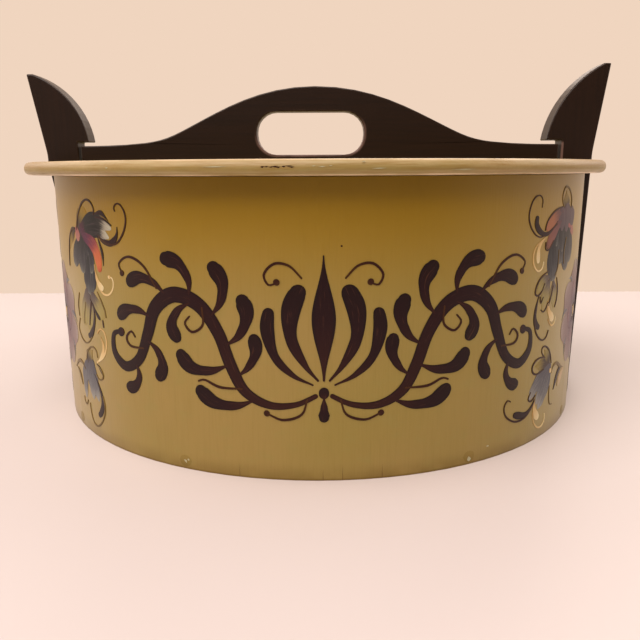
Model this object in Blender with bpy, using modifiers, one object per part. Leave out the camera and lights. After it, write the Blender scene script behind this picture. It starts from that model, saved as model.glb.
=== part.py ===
# A round bentwood tine: a painted band and lid, two upright posts and a handle that snaps under their hooks.
# The origin is the middle of the underside, +Z is up and the painted front faces -Y. All sizes are in metres.

import math

import bmesh
import bpy
from mathutils import Matrix, Vector

# Clearances
SEAT_GAP = 0.0003
PEG_CLEARANCE = 0.0003
CUT_OVERRUN = 0.002
MERGE_DISTANCE = 0.00001

# The bent band and its lap at the back
BAND_RADIUS = 0.175
BAND_THICKNESS = 0.004
BAND_HEIGHT = 0.1486
BAND_EDGE_ROUNDING = 0.0004
LAP_LENGTH = 0.070
LAP_SCARF_LENGTH = 0.028
LAP_EDGE_THICKNESS = 0.0011
LAP_RAMP_LENGTH = 0.024

# The root that sews the lap
ROOT_RADIUS = 0.0013
ROOT_MARGIN = 0.022
ROOT_TAIL = 0.007

# The bottom board and the pegs driven into its edge
BOTTOM_THICKNESS = 0.009
BOTTOM_EDGE_ROUNDING = 0.0004
BOTTOM_PEG_RADIUS = 0.0020
BOTTOM_PEG_LENGTH = 0.018

# The lid board, which sits a little to the left of the box's middle
LID_OVERHANG = 0.0139
LID_OFFSET = -0.0026
LID_THICKNESS = 0.0073
LID_EDGE_ROUNDING = 0.0033
LID_NOTCH_CLEARANCE = 0.0004

# The posts. The right one is stouter below the lid, and its head stands taller and reaches further in.
POST_WIDTH = 0.0145
POST_EDGE_ROUNDING = 0.0008
POST_STEP = 0.0079
POST_BEND_HEIGHT = 0.006
POST_PEG_RADIUS = 0.0026
POST_PEG_HEIGHT = 0.030
LEFT_FOOT_DEPTH = 0.0085
LEFT_HEAD_HEIGHT = 0.0446
LEFT_HEAD_LEAN = 0.0094
LEFT_HEAD_BULGE = 0.0080
LEFT_HOOK_REACH = 0.0079
LEFT_TIP_WIDTH = 0.0042
RIGHT_FOOT_DEPTH = 0.0102
RIGHT_HEAD_HEIGHT = 0.0497
RIGHT_HEAD_LEAN = 0.0077
RIGHT_HEAD_BULGE = 0.0075
RIGHT_HOOK_REACH = 0.0108
RIGHT_TIP_WIDTH = 0.0047

# The handle
HANDLE_WIDTH = 0.0140
HANDLE_EDGE_ROUNDING = 0.0010
HANDLE_END_GAP = 0.0020
HANDLE_END_HEIGHT = 0.0114
HANDLE_CREST_HEIGHT = 0.0501
HANDLE_CREST_OFFSET = -0.0028
HOOK_PLAY = 0.0024
HANDLE_TAIL_LENGTH = 0.0042
SLOT_LENGTH = 0.0741
SLOT_HEIGHT = 0.0288
SLOT_SILL = 0.0049
SLOT_OFFSET = -0.0060
SLOT_CORNER_RADIUS = 0.0136
HANDLE_PEG_RADIUS = 0.0030

# Angles and counts
FULL_TURN = 2 * math.pi
LAP_ANGLE = math.radians(90)
BOTTOM_PEG_TURNS = [math.radians(angle) for angle in (-56.2, -23.2, 26.8, 59.8)]
EASED_EDGE_ANGLE = math.radians(40)
SHARP_EDGE_ANGLE = math.radians(35)
ROOT_SHARP_ANGLE = math.radians(50)
BAND_STEPS = 96
LID_STEPS = 96
RIM_STEPS = 5
CORNER_STEPS = 4
RAMP_STEPS = 4
HEAD_STEPS = 12
FLANK_STEPS = 7
SLOT_STEPS = 6
ROOT_HOLES = 8
PEG_SIDES = 16

# Shares of the sizes they follow
HANDLE_PEG_SHARES = (0.34, 0.80)
HANDLE_PEG_DEPTH_SHARE = 0.66
FLANK_SHARES = (0.489, 0.563)
FLANK_PULL_SHARES = (0.130, 0.266)
CREST_PULL_SHARE = 0.21
SHOULDER_SHARES = (0.745, 0.951)
SHOULDER_PULL_SHARES = (0.098, 0.050)
PEG_CHAMFER_SHARE = 0.2
CLOSE_STEP_SHARE = 0.25
# Where the left post's slim outer face has swung out, as (share of the height, share of the way out)
LEFT_SWELL_SHARES = ((0.77, 0.15), (0.877, 0.39), (0.935, 0.69))

# Heights and radii that follow from the sizes above
BAND_INNER_RADIUS = BAND_RADIUS - BAND_THICKNESS
LID_RADIUS = BAND_RADIUS + LID_OVERHANG
LID_BOTTOM = BAND_HEIGHT + SEAT_GAP
LID_TOP = LID_BOTTOM + LID_THICKNESS
HANDLE_BOTTOM = LID_TOP + SEAT_GAP
HOOK_HEIGHT = HANDLE_BOTTOM + HANDLE_END_HEIGHT + HOOK_PLAY + SEAT_GAP
POST_FACE = BAND_RADIUS + SEAT_GAP
POST_NECK = BAND_RADIUS - POST_STEP
HANDLE_END = POST_NECK - HANDLE_END_GAP
BOTTOM_PEG_HEIGHT = BOTTOM_THICKNESS / 2

OLIVE = (0.235, 0.170, 0.045, 1.0)
DARK_WOOD = (0.022, 0.012, 0.008, 1.0)
BARE_WOOD = (0.42, 0.27, 0.13, 1.0)
PEG_WOOD = (0.30, 0.19, 0.09, 1.0)
ROOT_BROWN = (0.16, 0.08, 0.03, 1.0)


def clear_scene():
    for old in list(bpy.data.objects):
        bpy.data.objects.remove(old, do_unlink=True)


def make_collection(name):
    group = bpy.data.collections.new(name)
    bpy.context.scene.collection.children.link(group)
    return group


def make_material(name, color, roughness):
    material = bpy.data.materials.new(name)
    material.use_nodes = True
    shader = material.node_tree.nodes["Principled BSDF"]
    shader.inputs["Base Color"].default_value = color
    shader.inputs["Roughness"].default_value = roughness
    shader.inputs["Metallic"].default_value = 0.0
    material.diffuse_color = color
    return material


clear_scene()
PARTS = make_collection("norwegian_tine_box")
CUTTERS = make_collection("tine_cutters")


def add_part(name, mesh, material):
    """Links a mesh as a named piece with its own copy of the material."""
    part = bpy.data.objects.new(name, mesh)
    own_material = material.copy()
    own_material.name = name + "_finish"
    mesh.materials.clear()
    mesh.materials.append(own_material)
    PARTS.objects.link(part)
    return part


def add_cutter(name, mesh):
    cutter = bpy.data.objects.new(name, mesh)
    cutter.hide_render = True
    cutter.display_type = "WIRE"
    CUTTERS.objects.link(cutter)
    return cutter


def cut(part, cutter):
    boolean = part.modifiers.new("cut_" + cutter.name, "BOOLEAN")
    boolean.operation = "DIFFERENCE"
    boolean.solver = "EXACT"
    boolean.object = cutter


def round_edges(part, width, segments):
    bevel = part.modifiers.new("eased_edges", "BEVEL")
    bevel.width = width
    bevel.segments = segments
    bevel.limit_method = "ANGLE"
    bevel.angle_limit = EASED_EDGE_ANGLE
    bevel.use_clamp_overlap = True


def shade_round(mesh, sharp_angle=SHARP_EDGE_ANGLE):
    mesh.shade_smooth()
    mesh.set_sharp_from_angle(angle=sharp_angle)


def curve_to_mesh(name, curve, matrix):
    """Turns a curve into a closed mesh: its caps are loose until their doubled points are merged."""
    holder = bpy.data.objects.new(name + "_curve", curve)
    bpy.context.scene.collection.objects.link(holder)
    graph = bpy.context.evaluated_depsgraph_get()
    mesh = bpy.data.meshes.new_from_object(holder.evaluated_get(graph))
    bpy.data.objects.remove(holder, do_unlink=True)
    body = bmesh.new()
    body.from_mesh(mesh)
    bmesh.ops.remove_doubles(body, verts=body.verts, dist=MERGE_DISTANCE)
    bmesh.ops.transform(body, matrix=matrix, verts=body.verts)
    bmesh.ops.recalc_face_normals(body, faces=body.faces)
    body.to_mesh(mesh)
    body.free()
    mesh.name = name
    return mesh


def board_mesh(name, loops, thickness, matrix):
    """A flat board from closed outlines in its own XY plane; loops inside the first are holes."""
    curve = bpy.data.curves.new(name, "CURVE")
    curve.dimensions = "2D"
    curve.fill_mode = "BOTH"
    curve.extrude = thickness / 2
    for points in loops:
        spline = curve.splines.new("POLY")
        spline.points.add(len(points) - 1)
        for place, point in zip(spline.points, points):
            place.co = (point[0], point[1], 0, 1)
        spline.use_cyclic_u = True
    return curve_to_mesh(name, curve, matrix)


def peg_mesh(name, radius, length):
    """A round peg along +Z from its own origin, with its ends chamfered."""
    chamfer = radius * PEG_CHAMFER_SHARE
    body = bmesh.new()
    bmesh.ops.create_cone(
        body, cap_ends=True, segments=PEG_SIDES, radius1=radius, radius2=radius, depth=length
    )
    rims = [edge for edge in body.edges if abs(edge.verts[0].co.z - edge.verts[1].co.z) < chamfer]
    bmesh.ops.bevel(body, geom=rims, offset=chamfer, segments=1, affect="EDGES")
    bmesh.ops.translate(body, verts=body.verts, vec=(0, 0, length / 2))
    mesh = bpy.data.meshes.new(name)
    body.to_mesh(mesh)
    body.free()
    shade_round(mesh)
    return mesh


def aim(thing, start, direction):
    """Puts an object's origin at start and turns its +Z along direction."""
    thing.location = start
    thing.rotation_euler = Vector(direction).to_track_quat("Z", "Y").to_euler()


def around(angle, radius, height):
    return Vector((radius * math.cos(angle), radius * math.sin(angle), height))


def smooth_step(share):
    share = min(max(share, 0.0), 1.0)
    return share * share * (3 - 2 * share)


def bezier_points(start, start_pull, end_pull, end, steps):
    """Points along one cubic curve, without its first point."""
    points = []
    for step in range(1, steps + 1):
        share = step / steps
        rest = 1 - share
        weights = (rest ** 3, 3 * rest * rest * share, 3 * rest * share * share, share ** 3)
        corners = (start, start_pull, end_pull, end)
        points.append(tuple(sum(w * c[axis] for w, c in zip(weights, corners)) for axis in (0, 1)))
    return points


def bowed_points(start, end, bulge, steps):
    """Points along a circular arc from start to end that bows to the left of the way by bulge."""
    chord = Vector(end) - Vector(start)
    half = chord.length / 2
    radius = (half * half + bulge * bulge) / (2 * bulge)
    left = Vector((-chord.y, chord.x)).normalized()
    centre = (Vector(start) + Vector(end)) / 2 + left * (bulge - radius)
    first = math.atan2(start[1] - centre.y, start[0] - centre.x)
    sweep = 2 * math.asin(half / radius)
    turns = [first - sweep * step / steps for step in range(steps + 1)]
    return [(centre.x + radius * math.cos(turn), centre.y + radius * math.sin(turn)) for turn in turns]


# The band is one long strip: its tapered inner end starts the lap, it goes once round,
# climbs over that end and its tapered outer end closes the lap.
LAP_TURN = LAP_LENGTH / BAND_RADIUS
SCARF_TURN = LAP_SCARF_LENGTH / BAND_RADIUS
RAMP_TURN = LAP_RAMP_LENGTH / BAND_RADIUS
LAP_START = LAP_ANGLE - LAP_TURN / 2


def strip_thickness(turn):
    """Thickness of the strip at a turn counted from its inner end; both of its ends are tapered."""
    from_inner_end = turn / SCARF_TURN
    from_outer_end = (FULL_TURN + LAP_TURN - turn) / SCARF_TURN
    share = min(from_inner_end, from_outer_end, 1)
    return LAP_EDGE_THICKNESS + (BAND_THICKNESS - LAP_EDGE_THICKNESS) * max(share, 0)


def strip_inner_radius(turn):
    if turn >= FULL_TURN:
        return BAND_INNER_RADIUS + strip_thickness(turn - FULL_TURN) + SEAT_GAP
    climb = smooth_step((turn - FULL_TURN + RAMP_TURN) / RAMP_TURN)
    return BAND_INNER_RADIUS + climb * (LAP_EDGE_THICKNESS + SEAT_GAP)


def strip_outer_radius(turn):
    return strip_inner_radius(turn) + strip_thickness(turn)


def strip_turns():
    """The turns at which the strip's outline has points: even steps, and both scarfs and the ramp."""
    step = FULL_TURN / BAND_STEPS
    first = math.ceil(LAP_START / step) * step - LAP_START
    turns = {0.0, SCARF_TURN, FULL_TURN, FULL_TURN + SCARF_TURN, FULL_TURN + LAP_TURN}
    turns |= {FULL_TURN + LAP_TURN - SCARF_TURN}
    turns |= {FULL_TURN - RAMP_TURN * index / RAMP_STEPS for index in range(1, RAMP_STEPS + 1)}
    even = [first + step * index for index in range(int((FULL_TURN + LAP_TURN) / step) + 1)]
    turns |= {turn for turn in even if all(abs(turn - known) > step * CLOSE_STEP_SHARE for known in turns)}
    return sorted(turn for turn in turns if 0 <= turn <= FULL_TURN + LAP_TURN)


def make_side_band(material):
    turns = strip_turns()
    outer = [around(LAP_START + turn, strip_outer_radius(turn), 0) for turn in turns]
    inner = [around(LAP_START + turn, strip_inner_radius(turn), 0) for turn in reversed(turns)]
    mesh = board_mesh("side_band", [outer + inner], BAND_HEIGHT, Matrix.Translation((0, 0, BAND_HEIGHT / 2)))
    shade_round(mesh)
    band = add_part("side_band", mesh, material)
    round_edges(band, BAND_EDGE_ROUNDING, 1)
    return band


def make_bottom_board(material):
    radius = BAND_INNER_RADIUS - SEAT_GAP
    body = bmesh.new()
    bmesh.ops.create_cone(
        body, cap_ends=True, segments=BAND_STEPS, radius1=radius, radius2=radius, depth=BOTTOM_THICKNESS
    )
    mesh = bpy.data.meshes.new("bottom_board")
    body.to_mesh(mesh)
    body.free()
    shade_round(mesh)
    board = add_part("bottom_board", mesh, material)
    board.location = (0, 0, BOTTOM_THICKNESS / 2)
    round_edges(board, BOTTOM_EDGE_ROUNDING, 1)
    return board


def make_lid_board(material, lid_axis):
    """The lid is turned from a half section with a rounded rim, then notched at both ends for the posts."""
    half = LID_THICKNESS / 2
    rounding = min(LID_EDGE_ROUNDING, half)
    section = [(0, half)]
    for side in (1, -1):
        for step in range(RIM_STEPS + 1):
            share = step / RIM_STEPS
            turn = math.pi / 2 * (1 - share if side > 0 else share)
            out = LID_RADIUS - rounding * (1 - math.cos(turn))
            section.append((out, side * (half - rounding * (1 - math.sin(turn)))))
    section.append((0, -half))
    body = bmesh.new()
    verts = [body.verts.new((out, 0, height)) for out, height in section]
    for first, second in zip(verts, verts[1:]):
        body.edges.new((first, second))
    mesh = bpy.data.meshes.new("lid_board")
    body.to_mesh(mesh)
    body.free()
    lid = add_part("lid_board", mesh, material)
    lid.parent = lid_axis
    lid.location = (LID_OFFSET, 0, half)
    screw = lid.modifiers.new("turned", "SCREW")
    screw.axis = "Z"
    screw.steps = LID_STEPS
    screw.render_steps = LID_STEPS
    screw.use_merge_vertices = True
    screw.merge_threshold = 0.0001
    screw.use_smooth_shade = True
    for name, side in (("notch_left", -1), ("notch_right", 1)):
        cut(lid, notch_cutter(name, side))
    return lid


def notch_cutter(name, side):
    """A block that opens the lid's rim just enough for a post to stand in it."""
    inner = POST_NECK - LID_NOTCH_CLEARANCE
    outer = LID_RADIUS + abs(LID_OFFSET) + CUT_OVERRUN
    size = (outer - inner, POST_WIDTH + 2 * LID_NOTCH_CLEARANCE, LID_THICKNESS + 2 * CUT_OVERRUN)
    body = bmesh.new()
    bmesh.ops.create_cube(body, size=1, matrix=Matrix.Diagonal((*size, 1)))
    mesh = bpy.data.meshes.new(name)
    body.to_mesh(mesh)
    body.free()
    cutter = add_cutter(name, mesh)
    cutter.location = (side * (inner + outer) / 2, 0, LID_BOTTOM + LID_THICKNESS / 2)
    return cutter


def post_flank(side):
    """The outer face of a post from its foot up to the lid's top, as (out, height)."""
    foot = BAND_RADIUS + (LEFT_FOOT_DEPTH if side < 0 else RIGHT_FOOT_DEPTH)
    swell = LEFT_SWELL_SHARES if side < 0 else ()
    points = [(foot, 0)]
    points += [(foot + (LID_RADIUS - foot) * out_share, LID_TOP * up_share) for up_share, out_share in swell]
    points.append((LID_RADIUS, LID_TOP))
    return points


def post_outer_face(side, height):
    """How far out a post's outer face lies at a height near its foot."""
    foot, knee = post_flank(side)[:2]
    return foot[0] + (knee[0] - foot[0]) * height / knee[1]


def post_outline(side):
    """A post seen from the front, from the foot up its outer face, round its head and down its inner face."""
    if side < 0:
        head = (LEFT_HEAD_HEIGHT, LEFT_HEAD_LEAN, LEFT_HEAD_BULGE, LEFT_HOOK_REACH, LEFT_TIP_WIDTH)
    else:
        head = (RIGHT_HEAD_HEIGHT, RIGHT_HEAD_LEAN, RIGHT_HEAD_BULGE, RIGHT_HOOK_REACH, RIGHT_TIP_WIDTH)
    head_height, head_lean, head_bulge, hook_reach, tip_width = head
    tip = Vector((LID_RADIUS + head_lean, HOOK_HEIGHT + head_height))
    corner = Vector((LID_RADIUS, LID_TOP + POST_BEND_HEIGHT))
    leaning = corner + (tip - corner).normalized() * POST_BEND_HEIGHT
    points = [(POST_FACE, 0)]
    points += post_flank(side)
    points += bezier_points((LID_RADIUS, LID_TOP), corner, corner, leaning, CORNER_STEPS)
    points.append(tuple(tip))
    hook = (POST_NECK - hook_reach, HOOK_HEIGHT)
    inner_edge = bowed_points(hook, (tip.x - tip_width, tip.y), head_bulge, HEAD_STEPS)
    points += reversed(inner_edge)
    points += [(POST_NECK, HOOK_HEIGHT), (POST_NECK, LID_BOTTOM), (POST_FACE, LID_BOTTOM)]
    if side < 0:
        points = [(-x, z) for x, z in reversed(points)]
    return points


def make_post(name, side, material):
    """A post stands on its own hinge line, the outer edge of its foot."""
    foot = Vector((side * post_flank(side)[0][0], 0, 0))
    upright = Matrix.Translation(-foot) @ Matrix.Rotation(math.pi / 2, 4, "X")
    mesh = board_mesh(name, [post_outline(side)], POST_WIDTH, upright)
    shade_round(mesh)
    post = add_part(name, mesh, material)
    post.location = foot
    round_edges(post, POST_EDGE_ROUNDING, 2)
    return post


def handle_flank(side):
    """The top edge from the crest to the straight tail at one end, in shares of the way out and down."""
    crest = (HANDLE_CREST_OFFSET, HANDLE_CREST_HEIGHT)
    reach = side * (HANDLE_END - HANDLE_TAIL_LENGTH) - HANDLE_CREST_OFFSET
    drop = HANDLE_CREST_HEIGHT - HANDLE_END_HEIGHT

    def place(out_share, down_share):
        return (crest[0] + reach * out_share, crest[1] - drop * down_share)

    flank_out, flank_down = FLANK_SHARES
    pull_out, pull_down = FLANK_PULL_SHARES
    shoulder_out, shoulder_down = SHOULDER_SHARES
    ease_out, ease_down = SHOULDER_PULL_SHARES
    flank = place(flank_out, flank_down)
    shoulder = place(shoulder_out, shoulder_down)
    end = place(1, 1)
    points = [crest]
    points += bezier_points(
        crest, place(CREST_PULL_SHARE, 0),
        place(flank_out - pull_out, flank_down - pull_down), flank, FLANK_STEPS
    )
    points += bezier_points(
        flank, place(flank_out + pull_out, flank_down + pull_down),
        place(shoulder_out - ease_out, shoulder_down - ease_down), shoulder, FLANK_STEPS
    )
    points += bezier_points(shoulder, place(shoulder_out + ease_out, 1), end, end, CORNER_STEPS)
    return points


def handle_outline():
    """The handle seen from the front, anticlockwise from its lower left corner."""
    right = handle_flank(1)
    left = handle_flank(-1)
    points = [(-HANDLE_END, 0), (HANDLE_END, 0), (HANDLE_END, HANDLE_END_HEIGHT)]
    points += reversed(right)
    points += left[1:]
    points.append((-HANDLE_END, HANDLE_END_HEIGHT))
    return points


def slot_outline():
    """The finger slot with its full round ends."""
    radius = min(SLOT_CORNER_RADIUS, SLOT_HEIGHT / 2)
    half_length = SLOT_LENGTH / 2 - radius
    half_height = SLOT_HEIGHT / 2 - radius
    middle = (SLOT_OFFSET, SLOT_SILL + SLOT_HEIGHT / 2)
    points = []
    for quarter, (out, up) in enumerate(((1, 1), (-1, 1), (-1, -1), (1, -1))):
        for step in range(SLOT_STEPS + 1):
            turn = math.pi / 2 * (quarter + step / SLOT_STEPS)
            x = middle[0] + out * half_length + radius * math.cos(turn)
            z = middle[1] + up * half_height + radius * math.sin(turn)
            points.append((x, z))
    return points


def make_handle(material, lid_axis):
    upright = Matrix.Rotation(math.pi / 2, 4, "X")
    mesh = board_mesh("handle", [handle_outline(), slot_outline()], HANDLE_WIDTH, upright)
    shade_round(mesh)
    handle = add_part("handle", mesh, material)
    handle.parent = lid_axis
    handle.location = (0, 0, HANDLE_BOTTOM - LID_BOTTOM)
    round_edges(handle, HANDLE_EDGE_ROUNDING, 2)
    return handle


def side_pegs():
    """Each peg through the band as (name, start, inward way, radius, length)."""
    pegs = []
    number = 0
    for middle in (-math.pi / 2, math.pi / 2):
        for turn in BOTTOM_PEG_TURNS:
            number += 1
            start = around(middle + turn, BAND_RADIUS, BOTTOM_PEG_HEIGHT)
            inward = -around(middle + turn, 1, 0)
            pegs.append((f"bottom_peg_{number}", start, inward, BOTTOM_PEG_RADIUS, BOTTOM_PEG_LENGTH))
    for label, side in (("left", -1), ("right", 1)):
        inward = Vector((-side, 0, 0))
        for place, height in (("lower", BOTTOM_PEG_HEIGHT), ("upper", POST_PEG_HEIGHT)):
            outer = post_outer_face(side, height)
            inner = BAND_RADIUS - BOTTOM_PEG_LENGTH if place == "lower" else BAND_INNER_RADIUS
            start = Vector((side * outer, 0, height))
            pegs.append((f"post_peg_{label}_{place}", start, inward, POST_PEG_RADIUS, outer - inner))
    return pegs


def handle_pegs():
    """Each peg up through the lid into the handle, as (name, start, upward way, radius, length)."""
    pegs = []
    depth = HANDLE_END_HEIGHT * HANDLE_PEG_DEPTH_SHARE
    length = LID_THICKNESS + SEAT_GAP + depth
    number = 0
    for side in (-1, 1):
        slot_end = SLOT_OFFSET + side * SLOT_LENGTH / 2
        room = side * (HANDLE_END - HANDLE_TAIL_LENGTH) - slot_end
        for share in HANDLE_PEG_SHARES:
            number += 1
            start = Vector((slot_end + room * share, 0, LID_BOTTOM))
            pegs.append((f"handle_peg_{number}", start, Vector((0, 0, 1)), HANDLE_PEG_RADIUS, length))
    return pegs


def make_peg(peg, material, lid_axis=None):
    name, start, way, radius, length = peg
    part = add_part(name, peg_mesh(name, radius, length), material)
    if lid_axis:
        part.parent = lid_axis
        start = start - lid_axis.location
    aim(part, start, way)
    return part


def peg_drills(name, pegs):
    """One cutter with a hole for each peg, open where it is driven in and a little deeper than it."""
    body = bmesh.new()
    for _, start, way, radius, length in pegs:
        depth = length + CUT_OVERRUN + PEG_CLEARANCE
        middle = start + way * (depth / 2 - CUT_OVERRUN)
        turned = Matrix.Translation(middle) @ way.to_track_quat("Z", "Y").to_matrix().to_4x4()
        wide = radius + PEG_CLEARANCE
        bmesh.ops.create_cone(
            body, cap_ends=True, segments=PEG_SIDES, radius1=wide, radius2=wide, depth=depth, matrix=turned
        )
    mesh = bpy.data.meshes.new(name)
    body.to_mesh(mesh)
    body.free()
    return add_cutter(name, mesh)


def root_columns():
    """The two columns of stitches: their names and how far round the lap they lie."""
    return (("root_lacing_left", SCARF_TURN), ("root_lacing_right", LAP_TURN - SCARF_TURN))


def root_hole_heights():
    pitch = (BAND_HEIGHT - 2 * ROOT_MARGIN) / (ROOT_HOLES - 1)
    return [ROOT_MARGIN + pitch * index for index in range(ROOT_HOLES)]


def root_route(lap_turn):
    """A running stitch: the root goes out at one hole, up the outside, in at the next and up the inside."""
    angle = LAP_START + lap_turn
    bend = ROOT_RADIUS + SEAT_GAP
    faces = (BAND_INNER_RADIUS, strip_outer_radius(FULL_TURN + lap_turn))
    runs = (faces[0] - bend, faces[1] + bend)
    heights = root_hole_heights()
    points = [(runs[0], heights[0] - bend - ROOT_TAIL)]
    for index, height in enumerate(heights):
        here = index % 2
        there = 1 - here
        outward = 1 if there else -1
        for step in range(CORNER_STEPS + 1):
            turn = math.pi / 2 * step / CORNER_STEPS
            out = runs[here] + outward * bend * (1 - math.cos(turn))
            points.append((out, height - bend + bend * math.sin(turn)))
        for step in range(CORNER_STEPS + 1):
            turn = math.pi / 2 * step / CORNER_STEPS
            out = runs[there] - outward * bend * (1 - math.sin(turn))
            points.append((out, height + bend - bend * math.cos(turn)))
    points.append((runs[0], heights[-1] + bend + ROOT_TAIL))
    return [around(angle, radius, height) for radius, height in points]


def make_root_lacing(name, lap_turn, material):
    curve = bpy.data.curves.new(name, "CURVE")
    curve.dimensions = "3D"
    curve.bevel_depth = ROOT_RADIUS
    curve.bevel_resolution = 2
    curve.use_fill_caps = True
    route = root_route(lap_turn)
    spline = curve.splines.new("POLY")
    spline.points.add(len(route) - 1)
    for place, point in zip(spline.points, route):
        place.co = (*point, 1)
    mesh = curve_to_mesh(name, curve, Matrix.Identity(4))
    shade_round(mesh, ROOT_SHARP_ANGLE)
    return add_part(name, mesh, material)


def root_drills(name):
    body = bmesh.new()
    wide = ROOT_RADIUS + SEAT_GAP
    for _, lap_turn in root_columns():
        inner = BAND_INNER_RADIUS - CUT_OVERRUN
        outer = strip_outer_radius(FULL_TURN + lap_turn) + CUT_OVERRUN
        angle = LAP_START + lap_turn
        way = around(angle, 1, 0)
        for height in root_hole_heights():
            middle = around(angle, (inner + outer) / 2, height)
            turned = Matrix.Translation(middle) @ way.to_track_quat("Z", "Y").to_matrix().to_4x4()
            bmesh.ops.create_cone(
                body, cap_ends=True, segments=PEG_SIDES, radius1=wide, radius2=wide,
                depth=outer - inner, matrix=turned
            )
    mesh = bpy.data.meshes.new(name)
    body.to_mesh(mesh)
    body.free()
    return add_cutter(name, mesh)


def make_box():
    olive = make_material("olive_paint", OLIVE, 0.42)
    dark_wood = make_material("dark_stained_wood", DARK_WOOD, 0.45)
    bare_wood = make_material("bare_wood", BARE_WOOD, 0.7)
    peg_wood = make_material("peg_wood", PEG_WOOD, 0.65)
    root_bark = make_material("birch_root", ROOT_BROWN, 0.6)

    lid_axis = bpy.data.objects.new("lid_axis", None)
    lid_axis.location = (0, 0, LID_BOTTOM)
    PARTS.objects.link(lid_axis)

    band = make_side_band(olive)
    bottom = make_bottom_board(bare_wood)
    posts = [make_post("post_left", -1, dark_wood), make_post("post_right", 1, dark_wood)]
    lid = make_lid_board(olive, lid_axis)
    handle = make_handle(dark_wood, lid_axis)

    side_holes = peg_drills("side_peg_drills", side_pegs())
    for part in [band, bottom, *posts]:
        cut(part, side_holes)
    cut(band, root_drills("root_drills"))
    lid_holes = peg_drills("handle_peg_drills", handle_pegs())
    for part in (lid, handle):
        cut(part, lid_holes)

    for peg in side_pegs():
        make_peg(peg, peg_wood)
    for peg in handle_pegs():
        make_peg(peg, peg_wood, lid_axis)
    for name, lap_turn in root_columns():
        make_root_lacing(name, lap_turn, root_bark)


make_box()
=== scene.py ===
import math
import random

import bmesh
import bpy
from mathutils import Matrix, Vector


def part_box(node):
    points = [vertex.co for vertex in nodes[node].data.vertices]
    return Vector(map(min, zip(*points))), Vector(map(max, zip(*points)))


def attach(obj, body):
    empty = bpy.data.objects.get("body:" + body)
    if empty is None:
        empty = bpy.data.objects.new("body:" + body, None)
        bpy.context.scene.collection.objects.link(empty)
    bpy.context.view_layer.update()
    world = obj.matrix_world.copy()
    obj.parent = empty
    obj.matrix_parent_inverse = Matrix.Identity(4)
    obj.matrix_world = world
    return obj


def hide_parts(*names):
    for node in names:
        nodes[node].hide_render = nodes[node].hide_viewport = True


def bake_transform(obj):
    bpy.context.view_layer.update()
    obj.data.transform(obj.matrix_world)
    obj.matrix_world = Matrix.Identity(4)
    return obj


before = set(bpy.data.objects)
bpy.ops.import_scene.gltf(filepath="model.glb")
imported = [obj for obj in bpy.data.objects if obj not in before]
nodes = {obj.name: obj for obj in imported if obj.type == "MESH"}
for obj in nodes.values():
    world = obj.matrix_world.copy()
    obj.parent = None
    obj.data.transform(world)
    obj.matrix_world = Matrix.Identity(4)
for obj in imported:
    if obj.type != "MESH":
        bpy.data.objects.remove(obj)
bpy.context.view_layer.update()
mm = 0.001
print("tine box: packed frame loaded,", len(nodes), "pieces")

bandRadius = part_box("side_band")[1].x      # outside of the bent band
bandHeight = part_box("side_band")[1].z
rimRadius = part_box("lid_board")[1].y
rimLow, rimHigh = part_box("lid_board")[0].z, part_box("lid_board")[1].z


# Small helpers for objects and for the nodes of materials

def standNew(name, data):
    made = bpy.data.objects.new(name, data)
    bpy.context.scene.collection.objects.link(made)
    return made


def linear(colour):
    # a colour given 0 to 255, as Blender wants it
    shares = [value / 255 for value in colour]
    return tuple(s / 12.92 if s <= 0.04045 else ((s + 0.055) / 1.055) ** 2.4 for s in shares) + (1,)


def addNode(kind, inputs=None, tree=None, **settings):
    # a new node joins the tree of the sockets that feed it, or the tree that is named
    inputs = inputs or {}
    feeds = [value for value in inputs.values() if isinstance(value, bpy.types.NodeSocket)]
    tree = tree or feeds[0].id_data
    made = tree.nodes.new("ShaderNode" + kind)
    for name, value in settings.items():
        setattr(made, name, value)
    for key, value in inputs.items():
        if value in feeds:
            tree.links.new(value, made.inputs[key])
        else:
            made.inputs[key].default_value = value
    return made


def mathNode(operation, first, second=0, clamp=False):
    return addNode("Math", {0: first, 1: second}, operation=operation, use_clamp=clamp).outputs[0]


def product(first, *others):
    for other in others:
        first = mathNode("MULTIPLY", first, other)
    return first


def plus(first, second):
    return mathNode("ADD", first, second)


def minus(first, second):
    return mathNode("SUBTRACT", first, second)


def joined(x=0, y=0, z=0):
    return addNode("CombineXYZ", {0: x, 1: y, 2: z}).outputs[0]


def parted(place):
    return addNode("SeparateXYZ", {0: place}).outputs


def fadeNode(value, low, high):
    # 0 at low, 1 at high, smooth between; low may be the larger
    made = addNode("MapRange", {0: value, 1: low, 2: high}, interpolation_type="SMOOTHSTEP")
    return made.outputs[0]


def fadeFrom(value, base, ends):
    # a fade from its start to where it is full, both in mm from a base
    start, full = ends
    return fadeNode(value, base + start * mm, base + full * mm)


def mixNode(share, first, second):
    return addNode("Mix", {0: share, 6: first, 7: second}, data_type="RGBA").outputs[2]


def rampNode(value, stops):
    made = addNode("ValToRGB", {0: value})
    elements = made.color_ramp.elements
    while len(elements) < len(stops):
        elements.new(0.5)
    for element, (place, colour) in zip(elements, stops):
        element.position = place
        element.color = colour
    return made.outputs[0]


def noiseNode(place, scale, detail=3, roughness=0.5):
    made = addNode("TexNoise", {"Vector": place, "Scale": scale, "Detail": detail, "Roughness": roughness})
    return made.outputs["Fac"]


def patchNode(place, look):
    # patches of noise: scale, detail, and the values between which they fade in
    scale, detail, low, high = look
    return fadeNode(noiseNode(place, scale, detail), low, high)


def stretched(place, across):
    return addNode("Mapping", {"Vector": place, "Scale": across}).outputs[0]


def rowPlace(tree):
    return addNode("TexCoord", tree=tree).outputs["Object"]


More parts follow.
